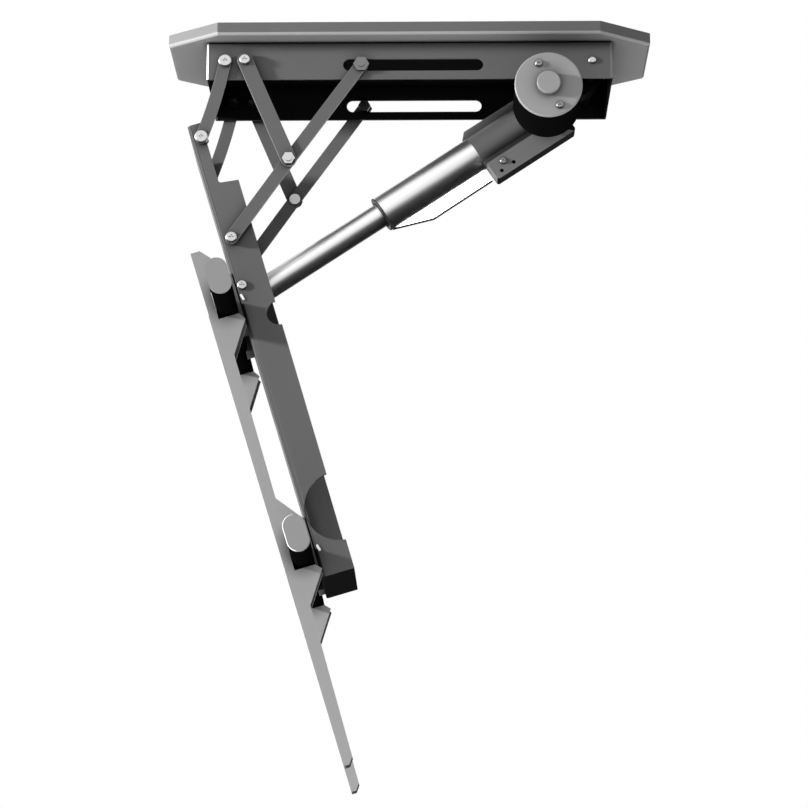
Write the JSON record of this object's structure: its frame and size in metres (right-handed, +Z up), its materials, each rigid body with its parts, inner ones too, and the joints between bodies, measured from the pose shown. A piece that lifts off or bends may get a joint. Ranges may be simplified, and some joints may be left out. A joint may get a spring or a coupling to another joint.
{
  "type": "motorised tv ceiling mount",
  "caption": "Motorised flip-down ceiling mount for a flat screen: plate and channel, folding side links, channel arm, rails with hook brackets and a linear actuator.",
  "frame": {"origin": "centre of the ceiling plate, on the ceiling face", "axes": "+X along the plate toward the actuator's rear pivot, +Y across toward the side without the motor, +Z up into the ceiling"},
  "size_m": [0.5636, 0.465, 0.866],
  "materials": {
    "dark_paint": "fine matt dark grey powder coat",
    "light_paint": "satin light grey powder coat",
    "rail_paint": "satin black powder coat",
    "cap_plastic": "matt light grey plastic",
    "polished_steel": "polished and chromed",
    "cast_zinc": "dark painted die casting",
    "motor_paint": "black paint",
    "motor_cap_paint": "satin grey",
    "magnet": "dark ferrite",
    "rotor_steel": "laminated steel",
    "bare_steel": "machined steel",
    "black_oxide": "black oxide",
    "zinc": "bright zinc plate",
    "bronze": "machined bronze",
    "gland_nylon": "dark nylon",
    "seal_rubber": "black rubber",
    "guard_plastic": "white plastic sheet"
  },
  "bodies": {
    "ceiling_frame": {"ceiling_plate": "dark_paint", "ceiling_spacers": "zinc", "frame_channel": "dark_paint", "channel_bolts": "black_oxide", "channel_nuts": "zinc", "link_a_bolts": "zinc", "link_b_bolts": "zinc", "link_spacers": "zinc", "frame_nuts": "black_oxide", "rear_pivot_pin": "zinc", "rear_pivot_nut": "zinc", "rear_pivot_spacers": "black_oxide"},
    "link_a_pair": {"link_a_near": "dark_paint", "link_a_far": "dark_paint"},
    "link_b_pair": {"link_b_near": "dark_paint", "link_b_far": "dark_paint"},
    "link_c_pair": {"link_c_near": "dark_paint", "link_c_far": "dark_paint", "knee_bolts": "zinc", "knee_nuts": "zinc", "slot_studs": "zinc", "slot_nuts": "zinc", "arm_link_bolts": "zinc"},
    "main_arm": {"main_arm": "dark_paint", "arm_pivot_bolts": "zinc", "arm_spacers": "zinc", "arm_link_studs": "zinc", "arm_nuts": "black_oxide", "front_pivot_studs": "zinc", "rail_upper": "rail_paint", "rail_lower": "rail_paint", "rail_end_caps": "cap_plastic", "rail_saddles": "dark_paint", "rail_bolts": "black_oxide", "rail_nuts": "zinc"},
    "tv_bracket_near": {"tv_bracket_near": "light_paint", "lock_screws_near": "zinc"},
    "tv_bracket_far": {"tv_bracket_far": "light_paint", "lock_screws_far": "zinc"},
    "actuator": {"gearbox_housing": "cast_zinc", "gearbox_screws": "zinc", "motor_can": "motor_paint", "motor_magnets": "magnet", "motor_end_cap": "motor_cap_paint", "motor_screws": "zinc", "outer_tube": "polished_steel", "tube_gland": "gland_nylon", "rod_seal": "seal_rubber", "cable_guard": "guard_plastic", "screw_bearings": "bare_steel"},
    "motor_rotor": {"motor_rotor": "rotor_steel", "worm": "bare_steel"},
    "lead_screw": {"lead_screw": "bare_steel", "worm_wheel": "bronze"},
    "push_rod": {"push_rod": "polished_steel", "drive_nut": "bronze", "rod_end": "bare_steel", "front_pivot_pin": "bare_steel"}
  },
  "joints": [
    {"name": "link_a_swing", "type": "hinge", "parent": "ceiling_frame", "child": "link_a_pair", "pos_m": [-0.214, 0, -0.0394], "axis": [0, -1, 0], "range_deg": [-47.17, 0]},
    {"name": "arm_fold", "type": "hinge", "parent": "link_a_pair", "child": "main_arm", "pos_m": [-0.2401, 0, -0.1326], "axis": [0, -1, 0], "range_deg": [0, 115.97]},
    {"name": "link_b_swing", "type": "hinge", "parent": "ceiling_frame", "child": "link_b_pair", "pos_m": [-0.191, 0, -0.0394], "axis": [0, -1, 0], "range_deg": [0, 53.04]},
    {"name": "knee_fold", "type": "hinge", "parent": "link_b_pair", "child": "link_c_pair", "pos_m": [-0.139, 0, -0.161], "axis": [0, -1, 0], "range_deg": [-96.86, 0]},
    {"name": "actuator_swing", "type": "hinge", "parent": "ceiling_frame", "child": "actuator", "pos_m": [0.2127, 0, -0.039], "axis": [0, -1, 0], "range_deg": [-23.01, 0]},
    {"name": "rod_travel", "type": "slide", "parent": "actuator", "child": "push_rod", "axis": [-0.8311, 0, -0.5561], "range_m": [-0.1495, 0]},
    {"name": "screw_spin", "type": "hinge", "parent": "actuator", "child": "lead_screw", "pos_m": [0.2127, 0, -0.039], "axis": [-0.8311, 0, -0.5561], "range_deg": [0, 5382.09]},
    {"name": "motor_spin", "type": "hinge", "parent": "actuator", "child": "motor_rotor", "pos_m": [0.15838, 0, -0.09664], "axis": [0, -1, 0], "continuous": true},
    {"name": "bracket_slide_near", "type": "slide", "parent": "main_arm", "child": "tv_bracket_near", "axis": [0, -1, 0], "range_m": [-0.041, 0.084]},
    {"name": "bracket_slide_far", "type": "slide", "parent": "main_arm", "child": "tv_bracket_far", "axis": [0, 1, 0], "range_m": [-0.041, 0.084]}
  ],
  "couplings": [
    {"joint": "arm_fold", "follows": "link_a_swing", "ratio": -2.4573},
    {"joint": "link_b_swing", "follows": "link_a_swing", "ratio": -1.1239},
    {"joint": "knee_fold", "follows": "link_a_swing", "ratio": 2.0524},
    {"joint": "actuator_swing", "follows": "link_a_swing", "ratio": 0.4875},
    {"joint": "rod_travel", "follows": "link_a_swing", "m_per_rad": 0.1815},
    {"joint": "screw_spin", "follows": "link_a_swing", "ratio": -114.04}
  ]
}
